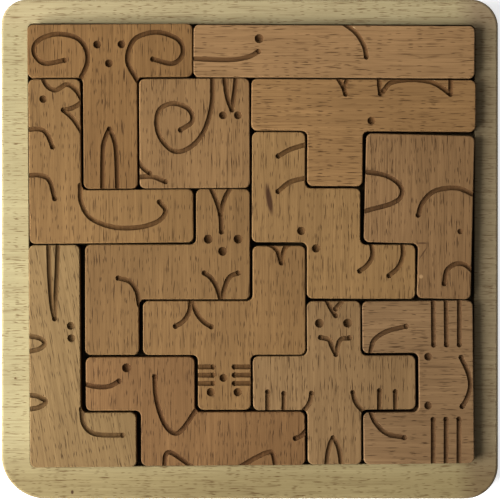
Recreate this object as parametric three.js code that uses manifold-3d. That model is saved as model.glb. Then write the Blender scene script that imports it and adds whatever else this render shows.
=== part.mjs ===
// Wooden packing puzzle: thirteen animal blocks, each cut from square cells, in a shallow square tray.
// Twelve blocks are the twelve ways to join five cells and one is a square of four: 64 cells in all.
// Millimetres, +Z up. The origin is the middle of the tray's underside, +X to the right, +Y to the back.

import * as THREE from 'three';
import { mergeVertices } from 'three/addons/utils/BufferGeometryUtils.js';
import Module from 'manifold-3d';

const wasm = await Module();
wasm.setup();

// ---- driving sizes -------------------------------------------------------------------------------

const cell = 24.9; // side of one cell as it was cut
const blockThickness = 10;
const blockCorner = 3; // radius that a 6 mm cutter leaves, and that the outer corners are sanded to
const blockEase = 0.45; // how far the edges are taken off

const rim = { left: 12.9, right: 10.85, front: 15.45, back: 11.55 }; // the board around the pocket
const trayThickness = 12;
const trayCorners = [20, 15, 12.5, 11.5]; // rounded by hand: anticlockwise from the front left
const trayRound = 1.3; // the outside edges are rounded over
const pocketDrop = 5.5; // how deep the pocket is
const cornerRelief = 0.2; // the pocket's corners are this much tighter than the blocks'
const pocketEase = 0.5;
const pocketPlay = 0.032; // room left over when the blocks are in, in cells
// The pocket was cut a little out of square: how far the ends of each wall stray, in cells.
const askew = { left: 0.023, right: 0.014, front: 0.041, back: 0.014 };
const seatGap = 0.1; // blocks sit this far above the pocket floor, so that the solids stay apart

const grooveWidth = 1.8; // the drawn lines, cut with a round-nosed cutter
const grooveStep = 3.2; // length of one straight piece of a curved line
const endSides = 6; // sides of the round end of a line
const dotSides = 8;

// The tray board shrank across its grain, which runs along X, so its pocket is a little short along Y.
const trayMoved = [0, -0.0105];

// ---- the thirteen blocks -------------------------------------------------------------------------

// One letter for each cell, seen from above with the back row first.
const board = [
  'TTTIIIII',
  'VTOOYYYY',
  'VTOOWYPP',
  'VVVZWWPP',
  'LZZZFWWP',
  'LZFFFXUU',
  'LNNFXXXU',
  'LLNNNXUU',
];
const boardCells = board.length;

// Lines and dots are drawn on the block's own cells: x to the right and y to the back, in cells, from
// the front left corner of the cells that hold the block. A dot is [x, y, diameter in millimetres].
// moved is how much each board has swelled or shrunk along X and Y since it was cut, as a part of it.
// sanded is what was then taken off its outline along X and Y, both sides together, in millimetres.
// lean is how far the block lies from the middle of its place, in cells, and turn is in degrees.
const blocks = [
  {
    name: 'ram_block', letter: 'T', colour: 0x96744b,
    moved: [-0.006, -0.001], sanded: [0.6, 1.12], lean: [-0.0266, -0.005], turn: 0.38,
    lines: [
      [[0.95, 1.97], [1.09, 2.28], [1.06, 2.55], [0.88, 2.74], [0.52, 2.8], [0.2, 2.68], [0.13, 2.47],
        [0.31, 2.28], [0.68, 2.33]],
      [[1.99, 1.96], [1.82, 2.28], [1.86, 2.56], [2.02, 2.75], [2.38, 2.82], [2.74, 2.68], [2.81, 2.43],
        [2.63, 2.26], [2.27, 2.34]],
      [[1.35, -0.03], [1.36, 0.69], [1.48, 1.09], [1.6, 0.69], [1.62, -0.03]],
    ],
    dots: [[1.27, 2.61, 3.6], [1.71, 2.61, 3.6], [1.48, 2.27, 3.6]],
  },
  {
    name: 'fish_block', letter: 'I', colour: 0x9a764c,
    moved: [0.01, -0.017], sanded: [0.3, 1.08], lean: [-0.0308, -0.0149], turn: -0.31,
    lines: [
      [[-0.03, 0.35], [0.63, 0.33], [0.98, 0.39], [1.16, 0.49]],
      [[2.66, 1.03], [2.89, 0.84], [3.03, 0.6], [3.07, 0.4]],
    ],
    dots: [[1.17, 0.73, 4.1]],
  },
  {
    name: 'squirrel_block', letter: 'V', colour: 0x93704a,
    moved: [0.003, -0.003], sanded: [1.73, 1.04], lean: [-0.0157, 0.012], turn: 0.56,
    lines: [
      [[0.28, 3.03], [0.38, 2.85], [0.53, 2.78], [0.73, 2.88], [0.9, 2.76], [1.01, 2.57]],
      [[1.01, 2.57], [0.83, 2.46], [0.66, 2.42], [0.83, 2.26], [1, 2]],
      [[-0.03, 2.07], [0.24, 2.08], [0.37, 1.98], [0.46, 1.76]],
      [[-0.03, 1.25], [0.23, 1.25], [0.4, 1.15], [0.49, 0.83]],
      [[0.95, 1.07], [0.96, 0.77], [1.12, 0.48], [1.52, 0.31], [1.99, 0.3], [2.34, 0.41], [2.47, 0.59],
        [2.36, 0.75]],
    ],
    dots: [[0.3, 2.62, 3.4]],
  },
  {
    name: 'snail_block', letter: 'O', colour: 0x9a774e,
    moved: [-0.005, -0.01], sanded: [0.31, 0.39], lean: [-0.0222, 0.0091], turn: 0.37,
    lines: [
      [[1.33, 2.03], [1.31, 1.51], [1.16, 1.02], [0.89, 0.73], [0.6, 0.69], [0.35, 1], [0.35, 1.39],
        [0.6, 1.54], [0.89, 1.44], [0.96, 1.22], [0.75, 1.06]],
      [[1.54, 2.03], [1.59, 1.65], [1.67, 1.42]],
      [[1.75, 2.03], [1.72, 1.74], [1.67, 1.42]],
      [[-0.04, 0.54], [0.06, 0.39], [0.19, 0.28]],
      [[-0.04, 0.21], [0.23, 0.22], [0.47, 0.13]],
    ],
    dots: [[1.51, 1.32, 3.6], [1.78, 1.32, 3.6]],
  },
  {
    name: 'bear_block', letter: 'Y', colour: 0x96724a,
    moved: [0.009, -0.012], sanded: [0.42, 1.56], lean: [-0.0093, 0.0181], turn: -0.38,
    lines: [
      [[1.51, 2.03], [1.62, 1.86], [1.68, 1.7]],
      [[1.73, 2.03], [1.65, 1.81]],
      [[2.27, 2.03], [2.28, 1.84], [2.3, 1.71]],
      [[2.35, 1.76], [2.47, 1.9], [2.72, 1.96], [3.02, 1.96], [3.28, 1.89], [3.54, 1.71]],
      [[3.54, 1.71], [3.55, 2.03]],
    ],
    dots: [[2.14, 1.22, 3.6]],
  },
  {
    name: 'bird_block', letter: 'W', colour: 0x8f6c46,
    moved: [-0.009, 0.007], sanded: [0.98, 0.9], lean: [-0.0368, 0.0288], turn: -0.19,
    lines: [
      [[1.03, 2.77], [0.71, 2.67], [0.49, 2.55]],
      [[1.03, 2.17], [0.71, 2.09], [0.49, 1.92]],
      [[2.17, 1.05], [2.2, 0.8], [2.11, 0.62], [1.97, 0.51]],
      [[2.74, 1.05], [2.75, 0.8], [2.67, 0.58], [2.5, 0.43]],
    ],
    dots: [[0.91, 1.22, 3.8], [1.18, 0.91, 3.8]],
  },
  {
    name: 'dog_block', letter: 'P', colour: 0x8d6b47,
    moved: [-0.026, -0.019], sanded: [0.28, 0.29], lean: [-0.0229, 0.0118], turn: -1.4,
    lines: [
      [[-0.03, 2.29], [0.37, 2.23], [0.62, 2.08], [0.68, 1.9], [0.52, 1.73], [-0.03, 1.56]],
      [[0.99, 1.52], [1.07, 1.76], [1.29, 1.97], [1.69, 2.03], [2.04, 1.9]],
      [[1.5, 0.28], [1.54, 0.52], [1.69, 0.64], [1.86, 0.64], [2.03, 0.51]],
    ],
    dots: [[1.77, 1.24, 2.6]],
  },
  {
    name: 'rabbit_block', letter: 'Z', colour: 0x9b7a50,
    moved: [-0.005, -0.005], sanded: [0.77, 0.29], lean: [-0.0035, 0.0077], turn: 0.03,
    lines: [
      [[2.27, 3.03], [2.38, 2.78], [2.45, 2.53], [2.47, 2.22]],
      [[2.64, 3.03], [2.52, 2.8], [2.45, 2.53]],
      [[2.16, 1.48], [2.29, 1.38], [2.39, 1.21], [2.47, 0.95]],
      [[2.77, 1.48], [2.62, 1.41], [2.53, 1.23], [2.47, 0.95]],
      [[0.61, 1.39], [0.81, 1.33], [0.94, 1.16], [0.99, 0.9]],
    ],
    dots: [[2.23, 2.09, 4.1], [2.77, 2.09, 4.1], [2.49, 1.87, 4.1]],
  },
  {
    name: 'leg_block', letter: 'L', colour: 0xa6835a,
    moved: [-0.01, 0.003], sanded: [1.81, 0.65], lean: [-0.0214, -0.009], turn: 0.45,
    lines: [
      [[0.4, 4.03], [0.41, 3.46], [0.45, 2.92], [0.5, 2.67]],
      [[0.57, 4.03], [0.54, 3.37], [0.5, 2.67]],
      [[-0.03, 2.37], [0.21, 2.33], [0.32, 2.23], [0.21, 2.13], [-0.03, 2.08]],
      [[-0.03, 1.32], [0.2, 1.28], [0.33, 1.19], [0.2, 1.09], [-0.03, 1.05]],
      [[0.97, 1.06], [1, 0.81], [1.12, 0.65], [1.31, 0.59], [1.71, 0.58]],
    ],
    dots: [[0.79, 2.54, 3.6], [0.8, 2.32, 3.6]],
  },
  {
    name: 'cat_block', letter: 'F', colour: 0x9c7a50,
    moved: [-0.017, -0.015], sanded: [0.91, 0.43], lean: [0.0094, -0.0012], turn: 0.11,
    lines: [
      [[2.22, 3.06], [2.45, 2.93], [2.54, 2.68]],
      [[2.78, 3.06], [2.61, 2.95], [2.54, 2.68]],
      [[0.9, 2.06], [0.86, 1.8], [0.76, 1.63], [0.61, 1.53]],
      [[0.9, 2.06], [0.98, 1.8], [1.1, 1.63], [1.26, 1.52]],
      [[0.98, 0.79], [1.29, 0.79]],
      [[0.98, 0.64], [1.29, 0.64]],
      [[0.98, 0.49], [1.29, 0.49]],
      [[1.68, 0.79], [2.02, 0.79]],
      [[1.68, 0.64], [2.02, 0.64]],
      [[1.68, 0.49], [2.02, 0.49]],
    ],
    dots: [[1.48, 0.59, 3.6], [1.25, 0.33, 3.8], [1.74, 0.33, 3.8]],
  },
  {
    name: 'elephant_block', letter: 'N', colour: 0x9f7d54,
    moved: [-0.013, -0.008], sanded: [0.53, 0.81], lean: [-0.0047, -0.0043], turn: 0.29,
    lines: [
      [[-0.03, 1.5], [0.22, 1.45], [0.44, 1.46], [0.61, 1.55]],
      [[1.26, 1.63], [1.28, 1.28], [1.36, 0.95], [1.49, 0.69], [1.65, 0.6], [1.79, 0.71], [2, 1.01]],
      [[1.43, -0.03], [1.45, 0.2], [1.53, 0.26], [1.72, 0.15], [1.96, -0.03]],
      [[2.77, -0.03], [3.08, 0.15], [3.34, 0.26], [3.41, 0.19], [3.45, -0.04]],
      [[4.03, 0.67], [3.92, 0.55], [3.81, 0.5]],
    ],
    dots: [[0.75, 1.79, 4.1]],
  },
  {
    name: 'owl_block', letter: 'X', colour: 0x977450,
    moved: [-0.025, -0.021], sanded: [0.29, 0.27], lean: [-0.0274, 0.008], turn: 0.33,
    lines: [
      [[1.36, 3.03], [1.45, 2.85], [1.53, 2.73]],
      [[1.68, 3.03], [1.53, 2.85]],
      [[1.25, 2.33], [1.4, 2.29], [1.46, 2.16], [1.53, 2.02]],
      [[1.78, 2.32], [1.61, 2.28], [1.53, 2.02]],
      [[0.27, 1.34], [0.27, 0.93]],
      [[0.57, 1.31], [0.57, 0.93]],
      [[1.08, 1.31], [1.04, 1.14], [0.93, 0.98]],
      [[1.84, 1.32], [1.9, 1.12], [2.07, 0.93]],
      [[2.33, 1.35], [2.32, 0.92]],
      [[2.62, 1.33], [2.62, 0.92]],
      [[1.34, -0.06], [1.37, 0.21], [1.47, 0.49], [1.59, 0.21], [1.62, -0.06]],
    ],
    dots: [[1.23, 2.59, 4.1], [1.75, 2.59, 4.1]],
  },
  {
    name: 'tiger_block', letter: 'U', colour: 0x936f49,
    moved: [0.001, -0.003], sanded: [0.5, 1.72], lean: [-0.0289, 0.0156], turn: 0.59,
    lines: [
      [[0.14, 2], [0.21, 2.26], [0.44, 2.42], [0.79, 2.51]],
      [[0.13, 1.01], [0.22, 0.79], [0.42, 0.59], [0.74, 0.51]],
      [[1.28, 3.03], [1.28, 2.17]],
      [[1.51, 3.03], [1.51, 2.17]],
      [[1.75, 3.03], [1.74, 2.17]],
      [[1.77, 1.94], [1.89, 1.67], [1.93, 1.44], [1.87, 1.21], [1.78, 1.06]],
      [[1.26, 0.83], [1.25, -0.03]],
      [[1.49, 0.83], [1.48, -0.03]],
      [[1.72, 0.83], [1.71, -0.03]],
    ],
    dots: [[1.18, 1.96, 3.6], [1.17, 1.08, 3.6]],
  },
];

// ---- sizes that follow ---------------------------------------------------------------------------

const pocketSize = [0, 1].map((axis) => cell * (boardCells * (1 + trayMoved[axis]) + pocketPlay));
const pocketShift = [(rim.left - rim.right) / 2, (rim.front - rim.back) / 2]; // from the tray's middle
const trayWidth = pocketSize[0] + rim.left + rim.right;
const trayDepth = pocketSize[1] + rim.front + rim.back;
const pocketCorner = blockCorner - cornerRelief;
const seatHeight = trayThickness - pocketDrop + seatGap;
const grooveRadius = grooveWidth / 2;

// ---- solids --------------------------------------------------------------------------------------

function toSolid(geometry) {
  const bare = geometry.clone();
  bare.deleteAttribute('normal');
  bare.deleteAttribute('uv');
  const merged = mergeVertices(bare, 1e-4);
  return new wasm.Manifold(new wasm.Mesh({
    numProp: 3,
    vertProperties: new Float32Array(merged.attributes.position.array),
    triVerts: new Uint32Array(merged.index.array),
  }));
}

function toGeometry(solid) {
  const mesh = solid.getMesh();
  const geometry = new THREE.BufferGeometry();
  geometry.setAttribute('position', new THREE.BufferAttribute(mesh.vertProperties, 3));
  geometry.setIndex(new THREE.BufferAttribute(mesh.triVerts, 1));
  const flat = geometry.toNonIndexed();
  flat.computeVertexNormals();
  return flat;
}

// A slab with its top and bottom edges eased, standing on Z = 0.
function slab(shape, thickness, ease, curveSegments) {
  const geometry = new THREE.ExtrudeGeometry(shape, {
    depth: thickness - 2 * ease,
    bevelEnabled: true,
    bevelThickness: ease,
    bevelSize: ease,
    bevelOffset: -ease,
    bevelSegments: 1,
    curveSegments,
  });
  return geometry.translate(0, 0, ease);
}

// A rectangle with a radius for each corner, anticlockwise from the front left.
function roundedRectangle(width, depth, radii) {
  const corners = [[-1, -1], [1, -1], [1, 1], [-1, 1]].map(([x, y]) => [(x * width) / 2, (y * depth) / 2]);
  return roundedOutline(corners, radii);
}

// A closed outline with square corners, run anticlockwise. Each corner has its own radius, or all have one.
function roundedOutline(corners, radii) {
  const shape = new THREE.Shape();
  corners.forEach((corner, i) => {
    const radius = Array.isArray(radii) ? radii[i] : radii;
    const before = corners.at(i - 1);
    const after = corners[(i + 1) % corners.length];
    const into = unit(before, corner);
    const out = unit(corner, after);
    const turnsLeft = into[0] * out[1] - into[1] * out[0] > 0;
    const start = [corner[0] - into[0] * radius, corner[1] - into[1] * radius];
    const centre = [start[0] + out[0] * radius, start[1] + out[1] * radius];
    const from = Math.atan2(start[1] - centre[1], start[0] - centre[0]);
    const to = from + (turnsLeft ? Math.PI / 2 : -Math.PI / 2);
    if (i === 0) {
      shape.moveTo(...start);
    } else {
      shape.lineTo(...start);
    }
    shape.absarc(...centre, radius, from, to, !turnsLeft);
  });
  shape.closePath();
  return shape;
}

function unit(from, to) {
  const length = Math.hypot(to[0] - from[0], to[1] - from[1]);
  return [(to[0] - from[0]) / length, (to[1] - from[1]) / length];
}

// ---- one block -----------------------------------------------------------------------------------

// The cells of a letter as [column, row] with rows counted from the front, and the box that holds them.
function cellsOf(letter) {
  const found = [];
  board.forEach((line, fromBack) => {
    [...line].forEach((mark, column) => {
      if (mark === letter) {
        found.push([column, boardCells - 1 - fromBack]);
      }
    });
  });
  const low = [0, 1].map((axis) => Math.min(...found.map((place) => place[axis])));
  const high = [0, 1].map((axis) => Math.max(...found.map((place) => place[axis])) + 1);
  return { found, low, span: [high[0] - low[0], high[1] - low[1]] };
}

// The corners of the joined cells, anticlockwise, in cells from the front left of their box.
function cornersOf({ found, low }) {
  const filled = new Set(found.map(String));
  const edges = new Map();
  const sides = [[0, 0, 1, 0], [1, 0, 1, 1], [1, 1, 0, 1], [0, 1, 0, 0]];
  const neighbours = [[0, -1], [1, 0], [0, 1], [-1, 0]];
  for (const [column, row] of found) {
    neighbours.forEach(([across, up], side) => {
      if (!filled.has(String([column + across, row + up]))) {
        const [x0, y0, x1, y1] = sides[side];
        edges.set(String([column + x0, row + y0]), [column + x1, row + y1]);
      }
    });
  }
  const first = [...edges.keys()][0];
  const loop = [];
  let at = first;
  do {
    const next = edges.get(at);
    loop.push(next);
    at = String(next);
  } while (at !== first);
  const corners = loop.filter((point, i) => {
    const before = loop.at(i - 1);
    const after = loop[(i + 1) % loop.length];
    return (before[0] === point[0]) !== (point[0] === after[0]);
  });
  return corners.map(([x, y]) => [x - low[0], y - low[1]]);
}

// Moves each side of a square-cornered outline inwards, by half of what was sanded off along X and Y.
function inset(corners, sanded) {
  return corners.map((corner, i) => {
    const into = unit(corners.at(i - 1), corner);
    const out = unit(corner, corners[(i + 1) % corners.length]);
    return [
      corner[0] - ((into[1] + out[1]) * sanded[0]) / 2,
      corner[1] + ((into[0] + out[0]) * sanded[1]) / 2,
    ];
  });
}

// One drawn line: a round-nosed cutter run along it, with the cutter's own round at both ends.
function grooveCutter(points, height) {
  const path = points.map(([x, y]) => new THREE.Vector3(x, y, height));
  const straight = path.length === 2;
  const curve = straight ? new THREE.LineCurve3(...path) : new THREE.CatmullRomCurve3(path);
  const steps = straight ? 1 : Math.ceil(curve.getLength() / grooveStep);
  const section = new THREE.Shape();
  for (let i = 0; i < 6; i += 1) {
    const angle = ((i + 0.5) * Math.PI) / 3;
    const point = [grooveRadius * Math.cos(angle), grooveRadius * Math.sin(angle)];
    if (i === 0) {
      section.moveTo(...point);
    } else {
      section.lineTo(...point);
    }
  }
  section.closePath();
  const run = new THREE.ExtrudeGeometry(section, { steps, bevelEnabled: false, extrudePath: curve });
  let cutter = toSolid(run);
  for (const end of [path[0], path.at(-1)]) {
    cutter = cutter.add(toSolid(dimple(end.x, end.y, height, grooveRadius, endSides)));
  }
  return cutter;
}

function dimple(x, y, height, radius, sides) {
  const ball = new THREE.SphereGeometry(radius, sides, 4);
  ball.rotateX(Math.PI / 2);
  return ball.translate(x, y, height);
}

function makeBlock({ name, letter, colour, moved, sanded, lean, turn, lines, dots }) {
  const cells = cellsOf(letter);
  const scale = [0, 1].map((axis) => cell * (1 + moved[axis]));
  const place = ([x, y]) => [(x - cells.span[0] / 2) * scale[0], (y - cells.span[1] / 2) * scale[1]];
  const corners = inset(cornersOf(cells).map(place), sanded);
  const outline = roundedOutline(corners, blockCorner);
  let solid = toSolid(slab(outline, blockThickness, blockEase, 3));
  const cutterHeight = blockThickness + 0.05; // just above the face, so that no cut runs along it
  for (const line of lines) {
    solid = solid.subtract(grooveCutter(line.map(place), cutterHeight));
  }
  for (const [x, y, diameter] of dots) {
    solid = solid.subtract(toSolid(dimple(...place([x, y]), cutterHeight, diameter / 2, dotSides)));
  }
  const material = new THREE.MeshStandardMaterial({ color: colour, roughness: 0.55, metalness: 0 });
  const mesh = new THREE.Mesh(toGeometry(solid), material);
  mesh.name = name;
  const centre = [0, 1].map((axis) => {
    const inBoard = (cells.low[axis] + cells.span[axis] / 2) / boardCells - 0.5;
    return pocketShift[axis] + inBoard * pocketSize[axis] + lean[axis] * cell;
  });
  mesh.position.set(...centre, seatHeight);
  mesh.rotation.z = THREE.MathUtils.degToRad(turn);
  return mesh;
}

// ---- the tray ------------------------------------------------------------------------------------

// The four corners of the pocket, anticlockwise from the front left, pushed outwards by a margin.
function pocketCorners(margin) {
  const [width, depth] = pocketSize.map((size) => size / 2 + margin);
  const stray = (wall) => askew[wall] * cell;
  return [
    [-width + stray('left'), -depth - stray('front')],
    [width - stray('right'), -depth + stray('front')],
    [width + stray('right'), depth - stray('back')],
    [-width - stray('left'), depth + stray('back')],
  ];
}

function makeTray() {
  const outside = roundedRectangle(trayWidth, trayDepth, trayCorners);
  const boardSolid = toSolid(slab(outside, trayThickness, trayRound, 5));
  const pocket = new THREE.ExtrudeGeometry(roundedOutline(pocketCorners(0), pocketCorner), {
    depth: pocketDrop + 1,
    bevelEnabled: false,
    curveSegments: 3,
  });
  pocket.translate(...pocketShift, trayThickness - pocketDrop);
  // A shallow wider cut eases the pocket's edge.
  const easedOutline = roundedOutline(pocketCorners(pocketEase), pocketCorner + pocketEase);
  const easing = new THREE.ExtrudeGeometry(easedOutline, {
    depth: 1,
    bevelEnabled: true,
    bevelThickness: pocketEase,
    bevelSize: pocketEase,
    bevelOffset: -pocketEase,
    bevelSegments: 1,
    curveSegments: 3,
  });
  easing.translate(...pocketShift, trayThickness);
  const solid = boardSolid.subtract(toSolid(pocket)).subtract(toSolid(easing));
  const material = new THREE.MeshStandardMaterial({ color: 0xc8b48a, roughness: 0.6, metalness: 0 });
  const mesh = new THREE.Mesh(toGeometry(solid), material);
  mesh.name = 'tray';
  return mesh;
}

const puzzle = new THREE.Group();
puzzle.add(makeTray(), ...blocks.map(makeBlock));

export default puzzle;
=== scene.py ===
"""Animal packing puzzle: thirteen carved beech blocks in a shallow beech tray, seen from straight above."""

import cmath
import math

import bmesh
import bpy
from mathutils import Matrix, Vector
from mathutils.geometry import intersect_line_line


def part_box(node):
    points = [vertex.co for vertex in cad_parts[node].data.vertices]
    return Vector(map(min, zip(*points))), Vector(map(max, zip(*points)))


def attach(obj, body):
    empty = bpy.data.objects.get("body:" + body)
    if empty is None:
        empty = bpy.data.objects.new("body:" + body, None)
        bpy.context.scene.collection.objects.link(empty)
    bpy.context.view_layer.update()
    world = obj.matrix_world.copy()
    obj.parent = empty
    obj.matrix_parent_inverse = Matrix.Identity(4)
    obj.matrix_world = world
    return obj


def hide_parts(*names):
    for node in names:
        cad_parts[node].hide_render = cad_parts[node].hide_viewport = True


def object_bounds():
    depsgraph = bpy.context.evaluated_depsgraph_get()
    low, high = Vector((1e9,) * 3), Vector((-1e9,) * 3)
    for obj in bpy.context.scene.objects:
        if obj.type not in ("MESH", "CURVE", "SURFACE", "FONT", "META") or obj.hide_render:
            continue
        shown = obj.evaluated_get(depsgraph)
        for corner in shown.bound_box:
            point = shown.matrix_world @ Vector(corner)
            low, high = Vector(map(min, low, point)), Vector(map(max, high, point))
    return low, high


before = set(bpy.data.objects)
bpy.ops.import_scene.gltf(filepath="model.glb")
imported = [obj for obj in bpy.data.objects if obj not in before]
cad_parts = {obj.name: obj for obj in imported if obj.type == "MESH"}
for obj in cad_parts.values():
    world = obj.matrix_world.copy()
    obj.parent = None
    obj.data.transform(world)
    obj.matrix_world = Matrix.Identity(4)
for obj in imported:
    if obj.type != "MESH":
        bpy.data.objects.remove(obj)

CAD_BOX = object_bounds()

bl_info = {
    "name": "Animal Packing Puzzle",
    "version": (1, 0, 0),
    "blender": (4, 5, 0),
    "location": "3D View > Sidebar > Puzzle",
    "description": "Builds a tray of carved animal blocks around its measured frame",
    "category": "Object",
}

MM = 0.001
# The centre of a dot's ball lies above the face, by this angle as seen from the dot's edge.
DOT_ANGLE = math.radians(20)
FLOOR_GLOW = 0.7  # strength of the light that comes up through the floor
ROOM_LIGHT = 0.12  # strength of the even light from all around
# Each light: its name, the way to it, how far off it is and how wide, in metres, and its power in watts.
LIGHTS = (
    ("window", (-0.95, -0.30, 0.52), 0.95, 0.80, 31.0),
    ("ceiling", (-0.5, 0.5, 1.1), 1.2, 1.0, 1.6),
)

# One letter for each square cell of the board, back row first.
BOARD = (
    "TTTIIIII",
    "VTOOYYYY",
    "VTOOWYPP",
    "VVVZWWPP",
    "LZZZFWWP",
    "LZFFFXUU",
    "LNNFXXXU",
    "LLNNNXUU",
)


def linear(code):
    """An sRGB hex colour as linear red, green and blue."""
    parts = [int(code[i:i + 2], 16) / 255 for i in (1, 3, 5)]
    return tuple(c / 12.92 if c <= 0.04045 else ((c + 0.055) / 1.055) ** 2.4 for c in parts)


# ---- the drawings --------------------------------------------------------------------------------
# Each block's lines and dots are drawn on its own cells: x to the right and y to the back, in cells,
# from the front left corner of the cells that hold it. A dot is (x, y, diameter in millimetres).
# grain is the angle that the wood's grain makes with +X, in degrees.

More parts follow.
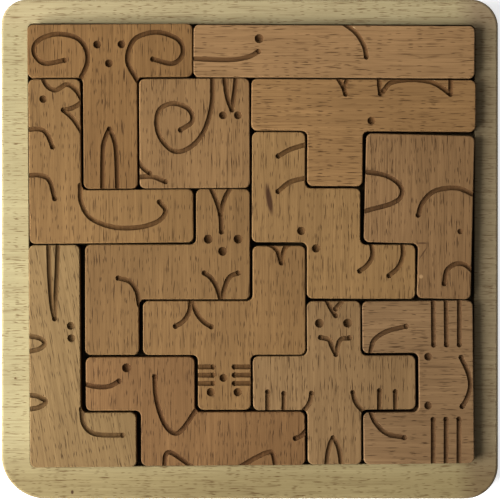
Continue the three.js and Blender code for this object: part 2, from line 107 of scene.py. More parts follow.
BLOCKS = {
    "ram_block": dict(
        letter="T", wood="#775834", grain=90, seed=1,
        lines=(
            ((0.95, 1.97), (1.09, 2.28), (1.06, 2.55), (0.88, 2.74), (0.52, 2.80), (0.20, 2.68),
             (0.13, 2.47), (0.31, 2.28), (0.68, 2.33)),
            ((1.99, 1.96), (1.82, 2.28), (1.86, 2.56), (2.02, 2.75), (2.38, 2.82), (2.74, 2.68),
             (2.81, 2.43), (2.63, 2.26), (2.27, 2.34)),
            ((1.35, -0.03), (1.36, 0.69), (1.41, 0.94), (1.48, 1.09)),
            ((1.48, 1.09), (1.55, 0.94), (1.60, 0.69), (1.62, -0.03)),
        ),
        dots=((1.27, 2.61, 3.6), (1.71, 2.61, 3.6), (1.48, 2.27, 3.6)),
    ),
    "fish_block": dict(
        letter="I", wood="#8c6c48", grain=0, seed=2,
        lines=(
            ((-0.03, 0.35), (0.63, 0.33), (0.98, 0.39), (1.16, 0.49)),
            ((2.66, 1.03), (2.89, 0.84), (3.03, 0.60), (3.07, 0.40)),
        ),
        dots=((1.17, 0.73, 4.1),),
        spots=(
            (2.85, 0.94, 0.8, 0.5, -45, "#b89a70"),
        ),
    ),
    "squirrel_block": dict(
        letter="V", wood="#7d5f3a", grain=90, seed=3,
        lines=(
            ((0.28, 3.03), (0.38, 2.85), (0.53, 2.78), (0.73, 2.88), (0.90, 2.76), (1.01, 2.57)),
            ((1.01, 2.57), (0.83, 2.46), (0.66, 2.42)),
            ((0.66, 2.42), (0.83, 2.26), (1.00, 2.00)),
            ((-0.03, 2.07), (0.24, 2.08), (0.37, 1.98), (0.46, 1.76)),
            ((-0.03, 1.25), (0.23, 1.25), (0.40, 1.15), (0.49, 0.83)),
            ((0.95, 1.07), (0.96, 0.77), (1.12, 0.48), (1.52, 0.31), (1.99, 0.30), (2.34, 0.41),
             (2.47, 0.59), (2.36, 0.75)),
        ),
        dots=((0.30, 2.62, 3.4),),
    ),
    "snail_block": dict(
        letter="O", wood="#7f613e", grain=90, seed=4,
        lines=(
            ((1.33, 2.03), (1.31, 1.51), (1.16, 1.02), (0.89, 0.73), (0.60, 0.69), (0.35, 1.00),
             (0.35, 1.39), (0.60, 1.54), (0.89, 1.44), (0.96, 1.22), (0.75, 1.06)),
            ((1.54, 2.03), (1.59, 1.65), (1.67, 1.42)),
            ((1.75, 2.03), (1.72, 1.74), (1.67, 1.42)),
            ((-0.04, 0.54), (0.06, 0.39), (0.19, 0.28)),
            ((-0.04, 0.21), (0.23, 0.22), (0.47, 0.13)),
        ),
        dots=((1.51, 1.32, 3.6), (1.78, 1.32, 3.6)),
    ),
    "bear_block": dict(
        letter="Y", wood="#84643f", grain=0, seed=5,
        lines=(
            ((1.51, 2.03), (1.62, 1.86), (1.68, 1.70)),
            ((1.73, 2.03), (1.65, 1.81)),
            ((2.27, 2.03), (2.28, 1.84), (2.30, 1.71)),
            ((2.35, 1.76), (2.47, 1.90), (2.72, 1.96), (3.02, 1.96), (3.28, 1.89), (3.54, 1.71)),
            ((3.54, 1.71), (3.55, 2.03)),
        ),
        dots=((2.14, 1.22, 3.6),),
        # The three pale spots on the arc's upper lip are painted highlight, where the lit wall of the groove
        # catches the light.
        spots=(
            (3.23, 1.95, 1.1, 0.6, 10, "#b89a70"),
            (3.36, 1.86, 1.2, 0.6, -30, "#b89a70"),
            (2.33, 1.78, 0.9, 0.6, 70, "#b89a70"),
        ),
    ),
    "bird_block": dict(
        letter="W", wood="#846640", grain=90, seed=6,
        lines=(
            ((1.03, 2.77), (0.71, 2.67), (0.49, 2.55)),
            ((1.03, 2.17), (0.71, 2.09), (0.49, 1.92)),
            ((2.17, 1.05), (2.20, 0.80), (2.11, 0.62), (1.97, 0.51)),
            ((2.74, 1.05), (2.75, 0.80), (2.67, 0.58), (2.50, 0.43)),
        ),
        dots=((0.91, 1.22, 3.8), (1.18, 0.91, 3.8)),
        spots=(
            (0.33, 1.78, 8.2, 1.6, -80, "#2e150c"),
        ),
    ),
    "dog_block": dict(
        letter="P", wood="#795c3c", grain=90, seed=7,
        lines=(
            ((-0.03, 2.29), (0.37, 2.23), (0.62, 2.08), (0.68, 1.90), (0.52, 1.73), (-0.03, 1.56)),
            ((0.99, 1.52), (1.07, 1.76), (1.29, 1.97), (1.69, 2.03), (2.04, 1.90)),
            ((1.50, 0.28), (1.54, 0.52), (1.69, 0.64), (1.86, 0.64), (2.03, 0.51)),
        ),
        dots=((1.77, 1.24, 2.6),),
        spots=(
            (1.08, 1.01, 2.8, 0.5, 0, "#4c3420"),
            (1.10, 0.83, 4.0, 0.4, 56, "#4c3420"),
            (0.46, 2.21, 1.3, 0.7, -20, "#b89a70"),
            (1.07, 0.40, 1.1, 1.1, 0, "#9c7c56"),
            (1.72, 1.05, 3.4, 0.3, 90, "#33200f"),
        ),
    ),
    "rabbit_block": dict(
        letter="Z", wood="#785b38", grain=90, seed=8,
        lines=(
            ((2.27, 3.03), (2.38, 2.78), (2.45, 2.53), (2.47, 2.22)),
            ((2.64, 3.03), (2.52, 2.80), (2.45, 2.53)),
            ((2.16, 1.48), (2.29, 1.38), (2.39, 1.21), (2.47, 0.95)),
            ((2.77, 1.48), (2.62, 1.41), (2.53, 1.23), (2.47, 0.95)),
            ((0.61, 1.39), (0.81, 1.33), (0.94, 1.16), (0.99, 0.90)),
        ),
        dots=((2.23, 2.09, 4.1), (2.77, 2.09, 4.1), (2.49, 1.87, 4.1)),
    ),
    "leg_block": dict(
        letter="L", wood="#7f6642", grain=90, slant=10, seed=9,
        lines=(
            ((0.40, 4.03), (0.41, 3.46), (0.45, 2.92), (0.50, 2.67)),
            ((0.57, 4.03), (0.54, 3.37), (0.50, 2.67)),
            ((-0.03, 2.37), (0.21, 2.33), (0.32, 2.23), (0.21, 2.13), (-0.03, 2.08)),
            ((-0.03, 1.32), (0.20, 1.28), (0.33, 1.19), (0.20, 1.09), (-0.03, 1.05)),
            ((0.97, 1.06), (1.00, 0.81), (1.12, 0.65), (1.31, 0.59), (1.71, 0.58)),
        ),
        dots=((0.79, 2.54, 3.6), (0.80, 2.32, 3.6)),
    ),
    "cat_block": dict(
        letter="F", wood="#7c5e3a", grain=90, seed=10,
        lines=(
            ((2.22, 3.06), (2.45, 2.93), (2.54, 2.68)),
            ((2.78, 3.06), (2.61, 2.95), (2.54, 2.68)),
            ((0.90, 2.06), (0.86, 1.80), (0.76, 1.63), (0.61, 1.53)),
            ((0.90, 2.06), (0.98, 1.80), (1.10, 1.63), (1.26, 1.52)),
            ((0.98, 0.79), (1.29, 0.79)),
            ((0.98, 0.64), (1.29, 0.64)),
            ((0.98, 0.49), (1.29, 0.49)),
            ((1.68, 0.79), (2.02, 0.79)),
            ((1.68, 0.64), (2.02, 0.64)),
            ((1.68, 0.49), (2.02, 0.49)),
        ),
        dots=((1.48, 0.59, 3.6), (1.25, 0.33, 3.8), (1.74, 0.33, 3.8)),
    ),
    "elephant_block": dict(
        letter="N", wood="#755635", grain=90, seed=11,
        lines=(
            ((-0.03, 1.50), (0.22, 1.45), (0.44, 1.46), (0.61, 1.55)),
            ((1.26, 1.63), (1.28, 1.28), (1.36, 0.95), (1.49, 0.69), (1.65, 0.60), (1.79, 0.71),
             (2.00, 1.01)),
            ((1.43, -0.03), (1.45, 0.20), (1.53, 0.26), (1.72, 0.15), (1.96, -0.03)),
            ((2.77, -0.03), (3.08, 0.15), (3.34, 0.26), (3.41, 0.19), (3.45, -0.04)),
            ((4.03, 0.67), (3.92, 0.55), (3.81, 0.50)),
        ),
        dots=((0.75, 1.79, 4.1),),
    ),
    "owl_block": dict(
        letter="X", wood="#7c6140", grain=90, seed=12,
        lines=(
            ((1.36, 3.03), (1.45, 2.85), (1.53, 2.73)),
            ((1.68, 3.03), (1.53, 2.85)),
            ((1.25, 2.33), (1.40, 2.29), (1.46, 2.16), (1.53, 2.02)),
            ((1.78, 2.32), (1.61, 2.28), (1.53, 2.02)),
            ((0.27, 1.34), (0.27, 0.93)),
            ((0.57, 1.31), (0.57, 0.93)),
            ((1.08, 1.31), (1.04, 1.14), (0.93, 0.98)),
            ((1.84, 1.32), (1.90, 1.12), (2.07, 0.93)),
            ((2.33, 1.35), (2.32, 0.92)),
            ((2.62, 1.33), (2.62, 0.92)),
            ((1.34, -0.06), (1.37, 0.21), (1.42, 0.39), (1.47, 0.49)),
            ((1.47, 0.49), (1.54, 0.39), (1.59, 0.21), (1.62, -0.06)),
        ),
        dots=((1.23, 2.59, 4.1), (1.75, 2.59, 4.1)),
    ),
    "tiger_block": dict(
        letter="U", wood="#795e40", grain=0, seed=13,
        lines=(
            ((0.14, 2.00), (0.21, 2.26), (0.44, 2.42), (0.79, 2.51)),
            ((0.13, 1.01), (0.22, 0.79), (0.42, 0.59), (0.74, 0.51)),
            ((1.28, 3.03), (1.28, 2.17)),
            ((1.51, 3.03), (1.51, 2.17)),
            ((1.75, 3.03), (1.74, 2.17)),
            ((1.77, 1.94), (1.89, 1.67), (1.93, 1.44), (1.87, 1.21), (1.78, 1.06)),
            ((1.26, 0.83), (1.25, -0.03)),
            ((1.49, 0.83), (1.48, -0.03)),
            ((1.72, 0.83), (1.71, -0.03)),
        ),
        dots=((1.18, 1.96, 3.6), (1.17, 1.08, 3.6)),
        spots=(
            (1.86, 1.15, 2.4, 0.5, 60, "#a8875c"),
        ),
    ),
}


# ---- settings a user would change ----------------------------------------------------------------

def length(name, description, millimetres):
    return bpy.props.FloatProperty(
        name=name, description=description, default=millimetres * MM, subtype="DISTANCE", unit="LENGTH"
    )


def colour(name, description, code):
    return bpy.props.FloatVectorProperty(
        name=name, description=description, default=linear(code), subtype="COLOR", size=3, min=0, max=1
    )


class PuzzleSizes(bpy.types.PropertyGroup):
    """Sizes of the fine shaping that the frame leaves open."""

    block_corner: length("Block corner", "Radius of the blocks' corners", 2.6)
    block_ease: length("Block edge", "How far the blocks' edges are rounded", 0.45)
    line_width: length("Line width", "Width of the carved lines", 2.25)
    line_depth: length("Line depth", "Depth of the carved lines", 0.72)
    plunge: length("Plunge", "Diameter of the round mark where the cutter went in", 2.5)
    tray_corners: bpy.props.FloatVectorProperty(
        name="Tray corners", description="Radii of the tray's corners, anticlockwise from the front left",
        default=(20 * MM, 15 * MM, 12.5 * MM, 11.5 * MM), subtype="XYZ_LENGTH", unit="LENGTH", size=4,
    )
    tray_round: length("Tray edge", "Radius of the tray's outside edge", 1.3)
    pocket_corner: length("Pocket corner", "Radius of the pocket's corners", 2.3)
    pocket_ease: length("Pocket edge", "How far the pocket's rim is rounded", 0.5)


class PuzzleColours(bpy.types.PropertyGroup):
    """Colours of the woods and the floor."""

    tray: colour("Tray", "Pale beech of the tray", "#a59a73")
    tray_fleck: colour("Tray fleck", "Rays in the tray's beech", "#5f4424")
    # Painted shade: the pocket's beech is drawn dark so that the gaps between the blocks look shaded.
    pocket: colour("Pocket", "Beech of the pocket, darkened by oil and handling", "#4a3d28")
    floor: colour("Floor", "Matt card under the puzzle", "#f2f3f4")


# ---- shaping -------------------------------------------------------------------------------------

def cells_of(letter):
    """The cells of a letter as (column, row from the front), moved to start at 0, 0."""
    found = [
        (column, len(BOARD) - 1 - line)
        for line, marks in enumerate(BOARD)
        for column, mark in enumerate(marks)
        if mark == letter
    ]
    low = [min(place[axis] for place in found) for axis in (0, 1)]
    return {(column - low[0], row - low[1]) for column, row in found}


def outline_of(cells):
    """The corners of the joined cells, anticlockwise, each as (x, y, side of x, side of y).

    A side is -1 where the wood's wall faces left or front there, and 1 where it faces right or back."""
    edges = {}
    # For each side of a cell: the step to the next cell, and the corners where the side starts and ends.
    sides = {
        (0, -1): ((0, 0), (1, 0)),
        (1, 0): ((1, 0), (1, 1)),
        (0, 1): ((1, 1), (0, 1)),
        (-1, 0): ((0, 1), (0, 0)),
    }
    for column, row in cells:
        for (right, back), (start, end) in sides.items():
            if (column + right, row + back) not in cells:
                first = (column + start[0], row + start[1])
                edges[first] = ((column + end[0], row + end[1]), (right, back))
    corners = []
    start = min(edges)
    point, facing = start, None
    while True:
        following, next_facing = edges[point]
        if facing is not None and facing != next_facing:
            corners.append((*point, facing[0] + next_facing[0], facing[1] + next_facing[1]))
        point, facing = following, next_facing
        if point == start:
            break
    corners.append((*start, facing[0] + edges[start][1][0], facing[1] + edges[start][1][1]))
    return corners


class Walls:
    """The upright walls of a CAD node: how far it is turned, and where its walls stand."""

    def __init__(self, node):
        faces = [
            (face.center, face.normal, face.area)
            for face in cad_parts[node].data.polygons
            if abs(face.normal.z) < 0.1
        ]
        quarter = sum(area * cmath.exp(4j * math.atan2(n.y, n.x)) for _, n, area in faces)
        self.turn = cmath.phase(quarter) / 4
        self.level = Matrix.Rotation(-self.turn, 3, "Z")
        found = []
        for centre, normal, area in faces:
            centre, normal = self.level @ centre, self.level @ normal
            for axis in (0, 1):
                if abs(normal[axis]) > 0.999:
                    found.append((axis, 1 if normal[axis] > 0 else -1, centre[axis], area))
        # Faces less than half a millimetre apart belong to one wall.
        groups = []
        for axis, side, place, area in sorted(found):
            last = groups[-1] if groups else None
            if last and last[:2] == [axis, side] and place - last[2] < 0.5 * MM:
                last[2:] = [place, last[3] + area, last[4] + place * area]
            else:
                groups.append([axis, side, place, area, place * area])
        self.lines = {}
        for axis, side, _, area, moment in groups:
            if area > 30 * MM * MM:
                self.lines.setdefault((axis, side), []).append(moment / area)

    def world(self, x, y, z=0.0):
        """A place along the node's own axes, in the row's frame."""
        return self.level.inverted() @ Vector((x, y, z))


class Block:
    """Where a block's outline and its cells lie, read off its CAD node."""

    def __init__(self, node, letter):
        self.walls = Walls(node)
        low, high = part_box(node)
        self.bottom, self.top = low[2], high[2]
        self.corners = outline_of(cells_of(letter))
        self.pitch, self.start = [], []
        self.wall_at = {}
        for axis in (0, 1):
            steps = {}
            for side in (-1, 1):
                marks = sorted({corner[axis] for corner in self.corners if corner[2 + axis] == side})
                places = self.walls.lines[(axis, side)]
                if len(marks) != len(places):
                    raise RuntimeError(f"{node} has {len(places)} walls where its cells have {len(marks)}")
                self.wall_at.update({(axis, side, mark): place for mark, place in zip(marks, places)})
                if len(marks) > 1:
                    steps[side] = (places[-1] - places[0]) / (marks[-1] - marks[0])
            span = max(corner[axis] for corner in self.corners)
            first = self.wall_at[(axis, -1, 0)]
            last = self.wall_at[(axis, 1, span)]
            pitch = sum(steps.values()) / len(steps) if steps else (last - first + 0.5 * MM) / span
            self.pitch.append(pitch)
            self.start.append((first + last - pitch * span) / 2)

    def outline(self):
        return [
            self.walls.world(self.wall_at[(0, side_x, x)], self.wall_at[(1, side_y, y)], self.bottom)
            for x, y, side_x, side_y in self.corners
        ]

    def place(self, x, y, z):
        """A point of the drawing, in the row's frame."""
        return self.walls.world(self.start[0] + x * self.pitch[0], self.start[1] + y * self.pitch[1], z)


def pocket_corners(node, height):
    """The corners of a tray's pocket, anticlockwise from the front left, at the given height."""
    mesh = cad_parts[node].data
    low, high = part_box(node)
    walls = {}
    for axis in (0, 1):
        middle = (low[axis] + high[axis]) / 2
        for side in (-1, 1):
            spots = sorted(
                (tuple(mesh.vertices[index].co) for face in mesh.polygons for index in face.vertices
                 if face.normal[axis] * side < -0.9995 and (face.center[axis] - middle) * side > 0),
                key=lambda spot: spot[1 - axis],
            )
            ends = [Vector((spot[0], spot[1], height)) for spot in (spots[0], spots[-1])]
            walls[(axis, side)] = ends
    corners = ((-1, -1), (1, -1), (1, 1), (-1, 1))
    return [intersect_line_line(*walls[(0, x)], *walls[(1, y)])[0] for x, y in corners]


def slab(outline, thickness, radii, ease, corner_steps, ease_steps):
    """A board of the given outline with a radius at each corner, and rounded top and bottom edges."""
    bm = bmesh.new()
    corners = [bm.verts.new(point) for point in outline]
    bm.faces.new(corners)
    for corner, radius in zip(corners, radii):
        bmesh.ops.bevel(
            bm, geom=[corner], offset=radius, offset_type="OFFSET", segments=corner_steps,
            profile=0.5, affect="VERTICES", material=-1,
        )
    bm.faces.ensure_lookup_table()
    face = bm.faces[0]
    raised = bmesh.ops.extrude_face_region(bm, geom=[face])
    lifted = [item for item in raised["geom"] if isinstance(item, bmesh.types.BMVert)]
    bmesh.ops.translate(bm, verts=lifted, vec=(0, 0, thickness))
    bmesh.ops.recalc_face_normals(bm, faces=bm.faces)
    bm.normal_update()
    for facing in (1, -1):
        flat = [f for f in bm.faces if f.normal.z * facing > 0.99]
        rim = [edge for f in flat for edge in f.edges]
        bmesh.ops.bevel(
            bm, geom=rim, offset=ease, offset_type="OFFSET", segments=ease_steps, profile=0.5,
            affect="EDGES", material=-1,
        )
        bm.normal_update()
    return bm


def smooth_path(points, step):
    """A curve through the points, cut into pieces of about one step."""
    if len(points) == 2:
        return list(points)
    path = []
    last = len(points) - 1
    for i in range(last):
        before = points[i - 1] if i else 2 * points[0] - points[1]
        after = points[i + 2] if i + 2 <= last else 2 * points[last] - points[last - 1]
        here, there = points[i], points[i + 1]
        pieces = max(2, math.ceil((there - here).length / step))
        for k in range(pieces):
            t = k / pieces
            path.append(0.5 * (
                2 * here + (there - before) * t
                + (2 * before - 5 * here + 4 * there - after) * t * t
                + (3 * here - before - 3 * there + after) * t ** 3
            ))
    path.append(points[last])
    return path


def groove_cutter(path, radius, sides=14):
    """A round rod along the path with half balls for ends, the shape that a round-nosed cutter sweeps."""
    directions = []
    for i, point in enumerate(path):
        ahead = path[min(i + 1, len(path) - 1)] - path[max(i - 1, 0)]
        directions.append(ahead.normalized())
    round_angles = [math.radians(a) for a in (82, 60, 40, 20)]
    stations = [
        (path[0] - directions[0] * radius * math.sin(a), directions[0], math.cos(a)) for a in round_angles
    ]
    stations += [(point, direction, 1.0) for point, direction in zip(path, directions)]
    stations += [
        (path[-1] + directions[-1] * radius * math.sin(a), directions[-1], math.cos(a))
        for a in reversed(round_angles)
    ]

    def stand(point, direction, size):
        up = Vector((0, 0, 1))
        side = up.cross(direction)
        turn = Matrix((side, up, direction)).transposed().to_4x4()
        return Matrix.Translation(point) @ turn @ Matrix.Scale(size, 4)

    bm = bmesh.new()
    before = stand(*stations[0])
    bmesh.ops.create_circle(bm, cap_ends=True, radius=radius, segments=sides, matrix=before)
    ring = list(bm.edges)
    for station in stations[1:]:
        after = stand(*station)
        drawn = bmesh.ops.extrude_edge_only(bm, edges=ring)["geom"]
        points = [item for item in drawn if isinstance(item, bmesh.types.BMVert)]
        bmesh.ops.transform(bm, matrix=after @ before.inverted(), verts=points)
        kept = set(points)
        ring = [
            item for item in drawn
            if isinstance(item, bmesh.types.BMEdge) and item.verts[0] in kept and item.verts[1] in kept
        ]
        before = after
    bmesh.ops.contextual_create(bm, geom=ring)
    bmesh.ops.recalc_face_normals(bm, faces=bm.faces)
    return bm


def ball_cutter(centre, radius):
    bm = bmesh.new()
    bmesh.ops.create_uvsphere(
        bm, u_segments=20, v_segments=12, radius=radius, matrix=Matrix.Translation(centre)
    )
    return bm


def to_object(bm, name, materials):
    mesh = bpy.data.meshes.new(name)
    bm.to_mesh(mesh)
    bm.free()
    for material in materials:
        mesh.materials.append(material)
    thing = bpy.data.objects.new(name, mesh)
    bpy.context.scene.collection.objects.link(thing)
    return thing


def cut_away(thing, cutters):
    """Cuts each cutter out of the thing, then throws the cutters away."""
    for cutter in cutters:
        cut = thing.modifiers.new("cut", "BOOLEAN")
        cut.operation = "DIFFERENCE"
        cut.solver = "MANIFOLD"
        cut.material_mode = "TRANSFER"
        cut.object = cutter
    bpy.context.view_layer.update()
    carved = bpy.data.meshes.new_from_object(thing.evaluated_get(bpy.context.evaluated_depsgraph_get()))
    thing.modifiers.clear()
    plain = thing.data
    thing.data = carved
    bpy.data.meshes.remove(plain)
    for cutter in cutters:
        mesh = cutter.data
        bpy.data.objects.remove(cutter)
        bpy.data.meshes.remove(mesh)


def settle_shading(thing, name):
    """Round surfaces are shaded smooth, and flat faces and cut lips stay crisp."""
    bm = bmesh.new()
    bm.from_mesh(thing.data)
    bmesh.ops.remove_doubles(bm, verts=bm.verts, dist=0.002 * MM)
    bmesh.ops.dissolve_degenerate(bm, edges=bm.edges, dist=0.001 * MM)
    bm.normal_update()
    crisp = math.radians(40)
    for face in bm.faces:
        face.smooth = True
    for edge in bm.edges:
        flat = [face for face in edge.link_faces if abs(face.normal.z) > 0.9999]
        bends = edge.calc_face_angle(0.0)
        edge.smooth = not (bends > crisp or (len(flat) == 1 and bends > 0.001))
    bm.to_mesh(thing.data)
    bm.free()
    thing.name = name
    thing.data.name = name
    return thing


# ---- materials -----------------------------------------------------------------------------------

def add(tree, kind, settings=None, links=None):
    """Adds a node, sets its values by name or socket, and links its inputs."""
    node = tree.nodes.new(kind)
    for key, value in (settings or {}).items():
        if isinstance(key, int) or key in node.inputs:
            node.inputs[key].default_value = value
        else:
            setattr(node, key, value)
    for key, source in (links or {}).items():
        tree.links.new(source, node.inputs[key])
    return node


def ramp(tree, source, stops):
    """A colour ramp with the given (position, value) stops, in greys."""
    node = add(tree, "ShaderNodeValToRGB", links={"Fac": source})
    elements = node.color_ramp.elements
    while len(elements) < len(stops):
        elements.new(1.0)
    for element, (position, value) in zip(elements, stops):
        element.position = position
        element.color = (value, value, value, 1)
    return node.outputs["Color"]


def blank_material(name):
    material = bpy.data.materials.new(name)
    material.use_nodes = True
    material.node_tree.nodes.clear()
    return material


def beech(
    name, light, dark, fleck, grain, seed,
    roughness=0.65, slant=0.0, ray_size=1.0, spots=(), fades=(),
):
    """Planed beech, wiped with oil: a warm even ground, faint growth rings, and short dark rays
    2 to 5 mm long that lie along the grain.

    A spot is (centre, half length, half width, angle, colour): a pin knot, a dark streak, a chip, or a
    painted highlight on a lit groove lip.
    A fade is (axis, start, end, tint): the wood is tinted more and more from start to end."""
    material = blank_material(name)
    tree = material.node_tree
    place = add(tree, "ShaderNodeTexCoord").outputs["Object"]
    # Millimetres, turned so that the grain runs along X, and moved to a board of its own.
    board = add(tree, "ShaderNodeMapping", {
        "Scale": (1000, 1000, 1000),
        "Rotation": (0, 0, -math.radians(grain + slant)),
        "Location": (seed * 173.0, seed * 61.0, seed * 7.3),
    }, {"Vector": place}).outputs["Vector"]

    def stretched(along, across, deep, detail=2.0, distortion=0.0):
        """Noise whose clouds have the given sizes in millimetres."""
        scaled = add(tree, "ShaderNodeMapping", {"Scale": (1 / along, 1 / across, 1 / deep)}, {
            "Vector": board,
        })
        return add(tree, "ShaderNodeTexNoise", {
            "Scale": 1.0, "Detail": detail, "Roughness": 0.55, "Distortion": distortion,
        }, {"Vector": scaled.outputs["Vector"]}).outputs["Fac"]

    def rays(along, across, deep, size, share):
        """Spindle-shaped marks in cells of the given size; only a share of the cells has one."""
        drift = add(tree, "ShaderNodeMapping", {"Scale": (1 / 14, 1 / 6, 1 / 6)}, {"Vector": board})
        wander = add(tree, "ShaderNodeTexNoise", {"Scale": 1.0, "Detail": 1.0}, {
            "Vector": drift.outputs["Vector"],
        })
        moved = add(tree, "ShaderNodeVectorMath", {"operation": "MULTIPLY_ADD", 1: (0.0, 1.6, 0.0)}, {
            0: wander.outputs["Color"], 2: board,
        })
        scaled = add(tree, "ShaderNodeMapping", {"Scale": (1 / along, 1 / across, 1 / deep)}, {
            "Vector": moved.outputs["Vector"],
        })
        cell = add(tree, "ShaderNodeTexVoronoi", {"feature": "F1", "Scale": 1.0}, {
            "Vector": scaled.outputs["Vector"],
        })
        body = add(tree, "ShaderNodeMapRange", {1: size, 2: size * 0.5, 3: 0.0, 4: 1.0}, {
            0: cell.outputs["Distance"],
        })
        chance = add(tree, "ShaderNodeSeparateColor", links={"Color": cell.outputs["Color"]}).outputs["Red"]
        kept = add(tree, "ShaderNodeMapRange", {1: 1 - share, 2: 1.0, 3: 0.0, 4: 1.0}, {0: chance})
        strong = add(tree, "ShaderNodeMath", {"operation": "POWER", 1: 0.3}, {0: kept.outputs[0]})
        return add(tree, "ShaderNodeMath", {"operation": "MULTIPLY"}, {
            0: body.outputs[0], 1: strong.outputs[0],
        }).outputs[0]

    rings = add(tree, "ShaderNodeTexWave", {
        "wave_type": "RINGS", "rings_direction": "X", "Scale": 0.085, "Distortion": 3.0, "Detail": 2.0,
        "Detail Scale": 0.6,
    }, {"Vector": add(tree, "ShaderNodeMapping", {
        "Location": (0, 45.0 + 3.7 * seed, 60.0), "Scale": (0.25, 1, 1),
    }, {"Vector": board}).outputs["Vector"]}).outputs["Fac"]
    streaks = stretched(60, 2.2, 3.0)
    pores = stretched(20, 0.75, 1.0, detail=2.0)
    fibres = stretched(22, 0.5, 0.8, detail=3.0)  # real fibres are finer, drawn wide enough to show
    clouds = stretched(70, 22, 22)
    short_rays = rays(4.6 * ray_size, 0.55 * ray_size, 1.2, 0.34, 0.5)
    long_rays = rays(12.0 * ray_size, 0.7 * ray_size, 1.6, 0.32, 0.5)

    def mixed(below, above, amount, how="MIX"):
        node = add(tree, "ShaderNodeMix", {"data_type": "RGBA", "blend_type": how, "clamp_factor": True})
        tree.links.new(amount, node.inputs["Factor"])
        for socket, value in ((6, below), (7, above)):
            if isinstance(value, tuple):
                node.inputs[socket].default_value = (*value, 1)
            else:
                tree.links.new(value, node.inputs[socket])
        return node.outputs[2]

    tone = add(tree, "ShaderNodeMath", {"operation": "MULTIPLY_ADD", 1: 0.45}, {
        0: streaks,
        2: add(tree, "ShaderNodeMath", {"operation": "MULTIPLY", 1: 0.55}, {0: clouds}).outputs[0],
    }).outputs[0]
    ground = mixed(light, dark, ramp(tree, tone, ((0.36, 0.0), (0.64, 1.0))))
    ground = mixed(ground, dark, ramp(tree, rings, ((0.5, 0.0), (1.0, 0.34))))
    ground = mixed(ground, dark, ramp(tree, fibres, ((0.40, 0.0), (0.72, 0.9))))
    ground = mixed(ground, fleck, ramp(tree, pores, ((0.55, 0.0), (0.72, 0.42))))
    ray_mask = add(tree, "ShaderNodeMath", {"operation": "MAXIMUM"}, {
        0: short_rays, 1: long_rays,
    }).outputs[0]
    ground = mixed(ground, fleck, ray_mask)
    for centre, half_length, half_width, angle, shade in spots:
        local = add(tree, "ShaderNodeMapping", {"vector_type": "TEXTURE",
            "Location": centre, "Rotation": (0, 0, math.radians(angle)),
            "Scale": (half_length, half_width, 3 * MM),
        }, {"Vector": place})
        away = add(tree, "ShaderNodeVectorMath", {"operation": "LENGTH"}, {0: local.outputs["Vector"]})
        inside = add(tree, "ShaderNodeMapRange", {1: 1.0, 2: 0.55, 3: 0.0, 4: 0.85}, {
            0: away.outputs["Value"],
        })
        ground = mixed(ground, shade, inside.outputs[0])

    for axis, start, end, tint in fades:
        along = add(tree, "ShaderNodeSeparateXYZ", links={"Vector": place}).outputs[axis]
        fade = add(tree, "ShaderNodeMapRange", {1: start, 2: end, 3: 0.0, 4: 1.0}, {0: along})
        ground = mixed(ground, tint, fade.outputs[0], how="MULTIPLY")

    height = add(tree, "ShaderNodeMath", {"operation": "MULTIPLY_ADD", 1: -0.8}, {
        0: ray_mask, 2: fibres,
    }).outputs[0]
    bump = add(tree, "ShaderNodeBump", {"Strength": 0.45, "Distance": 0.12 * MM}, {"Height": height})
    gloss = add(tree, "ShaderNodeMapRange", {1: 0.3, 2: 0.7, 3: roughness - 0.06, 4: roughness + 0.08}, {
        0: fibres,
    })
    # Rough wood scatters most of what a smooth face would mirror, so its gloss is kept low.
    shader = add(tree, "ShaderNodeBsdfPrincipled", {
        "IOR": 1.45, "Specular IOR Level": 0.12, "Metallic": 0.0,
    }, {
        "Base Color": ground, "Roughness": gloss.outputs[0], "Normal": bump.outputs["Normal"],
    })
    add(tree, "ShaderNodeOutputMaterial", links={"Surface": shader.outputs["BSDF"]})
    return material


def shade(rgb, factor, warmth=0.0):
    """A colour made darker or lighter, and redder by warmth."""
    return (
        min(1.0, rgb[0] * factor * (1 + warmth)),
        min(1.0, rgb[1] * factor),
        min(1.0, rgb[2] * factor * (1 - warmth)),
    )


def paper(name, rgb, glow):
    """Matt coated card on a light table: an even pale ground with a slight tooth, lit from below."""
    material = blank_material(name)
    tree = material.node_tree
    place = add(tree, "ShaderNodeTexCoord").outputs["Object"]
    tooth = add(tree, "ShaderNodeTexNoise", {"Scale": 900.0, "Detail": 2.0}, {"Vector": place})
    bump = add(tree, "ShaderNodeBump", {"Strength": 0.05, "Distance": 0.05 * MM}, {
        "Height": tooth.outputs["Fac"],
    })
    shader = add(tree, "ShaderNodeBsdfPrincipled", {
        "Base Color": (*rgb, 1), "Roughness": 0.85, "IOR": 1.45, "Emission Color": (*rgb, 1),
        "Emission Strength": glow,
    }, {"Normal": bump.outputs["Normal"]})
    add(tree, "ShaderNodeOutputMaterial", links={"Surface": shader.outputs["BSDF"]})
    return material


# ---- operators -----------------------------------------------------------------------------------

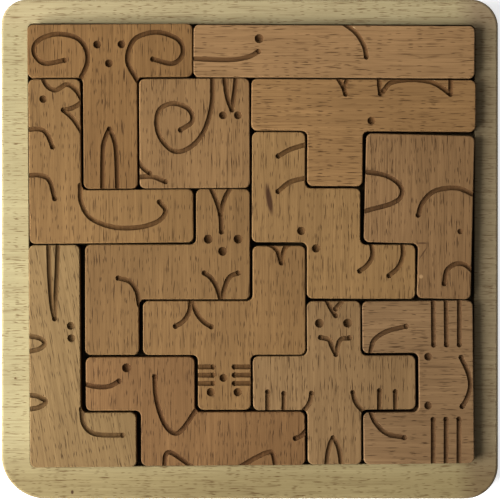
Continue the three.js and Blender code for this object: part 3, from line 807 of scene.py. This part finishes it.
class PUZZLE_OT_block(bpy.types.Operator):
    """Shape one animal block and carve its drawing"""

    bl_idname = "packing_puzzle.block"
    bl_label = "Carve Block"

    block: bpy.props.StringProperty(name="Block", description="Node that the block stands for")

    def execute(self, context):
        sizes = context.scene.puzzle_sizes
        plan = BLOCKS[self.block]
        block = Block(self.block, plan["letter"])
        wood = linear(plan["wood"])
        spots = [
            (tuple(block.place(x, y, block.top)), long * MM, wide * MM, angle, linear(code))
            for x, y, long, wide, angle, code in plan.get("spots", ())
        ]
        face = beech(
            "oiled_beech_" + self.block, shade(wood, 1.2), shade(wood, 0.8, 0.03), shade(wood, 0.16, 0.3),
            plan["grain"], plan["seed"], slant=plan.get("slant", 0.0), spots=spots,
            # Painted shade: the sides, which show only in the gaps between blocks, are drawn darker than the
            # face.
            fades=((2, block.top - 1.0 * MM, block.top - 2.4 * MM, (0.5, 0.46, 0.42)),),
        )
        groove = beech(
            "routed_beech_" + self.block, shade(wood, 0.5, 0.15), shade(wood, 0.28, 0.2),
            shade(wood, 0.16, 0.2), plan["grain"], plan["seed"] + 20, roughness=0.8,
        )
        outline = block.outline()
        radii = [sizes.block_corner] * len(outline)
        body = to_object(
            slab(outline, block.top - block.bottom, radii, sizes.block_ease, 8, 4),
            self.block + "_body", [face],
        )
        cut_away(body, self.cutters(block, plan, sizes, groove))
        piece = settle_shading(body, self.block.replace("_block", "_carved_block"))
        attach(piece, self.block.replace("_block", ""))
        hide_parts(self.block)
        return {"FINISHED"}

    def cutters(self, block, plan, sizes, groove):
        """A rod for each line, a small ball where a line starts or ends on the wood, a ball for each dot."""
        radius = (sizes.line_width ** 2 / 4 + sizes.line_depth ** 2) / (2 * sizes.line_depth)
        height = block.top + radius - sizes.line_depth
        shapes = []
        for line in plan["lines"]:
            path = smooth_path([block.place(x, y, height) for x, y in line], 0.8 * MM)
            shapes.append(groove_cutter(path, radius))
            for x, y in (line[0], line[-1]):
                if self.on_wood(x, y, plan["letter"]):
                    shapes.append(ball_cutter(block.place(x, y, block.top + 0.1 * MM), sizes.plunge / 2))
        for x, y, diameter in plan["dots"]:
            # The ball-nosed cutter goes in less than half of its own width.
            radius = diameter * MM / 2 / math.cos(DOT_ANGLE)
            centre = block.place(x, y, block.top + radius * math.sin(DOT_ANGLE))
            shapes.append(ball_cutter(centre, radius))
        return [to_object(shape, "cutter", [groove]) for shape in shapes]

    def on_wood(self, x, y, letter):
        """Whether a point of the drawing lies well inside the block's cells."""
        cells = cells_of(letter)
        near = 0.09
        return all(
            (math.floor(x + dx), math.floor(y + dy)) in cells for dx in (-near, near) for dy in (-near, near)
        )


class PUZZLE_OT_tray(bpy.types.Operator):
    """Shape the tray: one board with a pocket cut into it"""

    bl_idname = "packing_puzzle.tray"
    bl_label = "Shape Tray"

    def execute(self, context):
        sizes = context.scene.puzzle_sizes
        colours = context.scene.puzzle_colours
        low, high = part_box("tray")
        floor_level = max(
            face.center.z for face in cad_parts["tray"].data.polygons
            if face.normal.z > 0.99 and face.area > 30 * MM * MM and face.center.z < high[2] - 1 * MM
        )
        outside = [Vector((x, y, low[2])) for x, y in (
            (low[0], low[1]), (high[0], low[1]), (high[0], high[1]), (low[0], high[1]),
        )]
        wood = tuple(colours.tray)
        face = beech(
            "planed_beech_tray", shade(wood, 1.08), shade(wood, 0.84, 0.03), tuple(colours.tray_fleck),
            0, 31, roughness=0.7, ray_size=0.8,
            spots=[
                ((-79.7 * MM, -109.3 * MM, high[2]), 1.1 * MM, 0.8 * MM, 90, linear("#3a0c08")),
                ((-105.3 * MM, -58.1 * MM, high[2]), 0.6 * MM, 0.5 * MM, 0, linear("#5a4226")),
            ],
            # The front rim is toned darker and the back one a little lighter; the right rim is darkened as
            # painted shadow cast by the blocks.
            fades=(
                (1, -86 * MM, -104 * MM, (0.66, 0.60, 0.52)),
                (0, 92 * MM, 102 * MM, (0.70, 0.63, 0.67)),
                (1, 96 * MM, 103 * MM, (1.06, 1.02, 1.04)),
            ),
        )
        # The pocket's walls and floor carry painted shade: their beech is darkened to make the gaps dark.
        pocket_shade_tone = tuple(colours.pocket)
        inside = beech(
            "shade_darkened_beech_pocket", shade(pocket_shade_tone, 1.1), shade(pocket_shade_tone, 0.8), shade(pocket_shade_tone, 0.5), 0, 32,
            roughness=0.7,
        )
        board = to_object(
            slab(outside, high[2] - low[2], sizes.tray_corners, sizes.tray_round, 14, 6),
            "tray_body", [face],
        )
        pocket = slab(
            pocket_corners("tray", floor_level),
            high[2] - floor_level + 4 * MM, [sizes.pocket_corner] * 4, 0.3 * MM, 8, 3,
        )
        cut_away(board, [to_object(pocket, "cutter", [inside])])
        self.ease_rim(board, sizes.pocket_ease, high[2])
        piece = settle_shading(board, "beech_tray")
        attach(piece, "tray")
        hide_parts("tray")
        return {"FINISHED"}

    def ease_rim(self, board, amount, top):
        """Rounds the edge between the tray's top and the pocket's walls."""
        bm = bmesh.new()
        bm.from_mesh(board.data)
        bmesh.ops.remove_doubles(bm, verts=bm.verts, dist=0.002 * MM)
        bm.normal_update()
        rim = [
            edge for edge in bm.edges
            if all(abs(vert.co.z - top) < 0.01 * MM for vert in edge.verts)
            and edge.calc_face_angle(0.0) > math.radians(80)
        ]
        bmesh.ops.bevel(
            bm, geom=rim, offset=amount, offset_type="OFFSET", segments=3, profile=0.5,
            affect="EDGES", material=-1,
        )
        bm.to_mesh(board.data)
        bm.free()


class PUZZLE_OT_stage(bpy.types.Operator):
    """Lay the floor, and set the lights and the camera"""

    bl_idname = "packing_puzzle.stage"
    bl_label = "Set Stage"

    def execute(self, context):
        scene = context.scene
        bm = bmesh.new()
        bmesh.ops.create_grid(bm, x_segments=1, y_segments=1, size=1.5)
        card = paper("coated_card_floor", tuple(scene.puzzle_colours.floor), FLOOR_GLOW)
        floor = to_object(bm, "floor", [card])

        low, high = CAD_BOX
        middle = Vector(((low[0] + high[0]) / 2, (low[1] + high[1]) / 2, 0))
        for name, direction, away, size, power in LIGHTS:
            self.window(scene, name, middle, direction, away, size, power)
        world = bpy.data.worlds.new("soft_room")
        world.use_nodes = True
        ground = world.node_tree.nodes["Background"]
        ground.inputs["Color"].default_value = (1.0, 1.0, 1.0, 1)
        ground.inputs["Strength"].default_value = ROOM_LIGHT
        scene.world = world
        scene.view_settings.view_transform = "Standard"
        scene.view_settings.look = "None"

        tray_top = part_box("tray")[1][2]
        distance = 0.6
        margin = 0.9995  # the tray fills the frame from edge to edge
        aim = middle + Vector((0.2 * MM, -0.45 * MM, 0))  # a hair off the tray's middle
        camera = bpy.data.cameras.new("camera")
        camera.sensor_width = 36
        camera.lens = 36 * distance / ((high[1] - low[1]) * margin)
        holder = bpy.data.objects.new("camera", camera)
        holder.location = (aim.x, aim.y, tray_top + distance)
        scene.collection.objects.link(holder)
        scene.camera = holder
        return {"FINISHED"}

    def window(self, scene, name, middle, direction, away, size, power):
        """A square soft light that looks at the middle of the puzzle."""
        lamp = bpy.data.lights.new(name, "AREA")
        lamp.shape = "SQUARE"
        lamp.size = size
        lamp.energy = power
        towards = Vector(direction).normalized()
        holder = bpy.data.objects.new(name, lamp)
        holder.location = middle + towards * away
        holder.rotation_euler = towards.to_track_quat("Z", "Y").to_euler()
        scene.collection.objects.link(holder)


class PUZZLE_PT_panel(bpy.types.Panel):
    """Lists the puzzle's pieces and settings"""

    bl_idname = "PUZZLE_PT_panel"
    bl_label = "Packing Puzzle"
    bl_space_type = "VIEW_3D"
    bl_region_type = "UI"
    bl_category = "Puzzle"

    def draw(self, context):
        layout = self.layout
        for group in (context.scene.puzzle_sizes, context.scene.puzzle_colours):
            for name in group.__annotations__:
                layout.prop(group, name)
        layout.operator("packing_puzzle.stage")
        layout.operator("packing_puzzle.tray")
        for name in BLOCKS:
            layout.operator("packing_puzzle.block", text=name).block = name


CLASSES = (
    PuzzleSizes, PuzzleColours, PUZZLE_OT_block, PUZZLE_OT_tray, PUZZLE_OT_stage, PUZZLE_PT_panel,
)


def register():
    for cls in CLASSES:
        bpy.utils.register_class(cls)
    bpy.types.Scene.puzzle_sizes = bpy.props.PointerProperty(type=PuzzleSizes)
    bpy.types.Scene.puzzle_colours = bpy.props.PointerProperty(type=PuzzleColours)


def unregister():
    del bpy.types.Scene.puzzle_colours
    del bpy.types.Scene.puzzle_sizes
    for cls in reversed(CLASSES):
        bpy.utils.unregister_class(cls)


def main():
    register()
    bpy.ops.packing_puzzle.stage()
    bpy.ops.packing_puzzle.tray()
    for name in BLOCKS:
        bpy.ops.packing_puzzle.block(block=name)


if __name__ == "__main__":
    main()
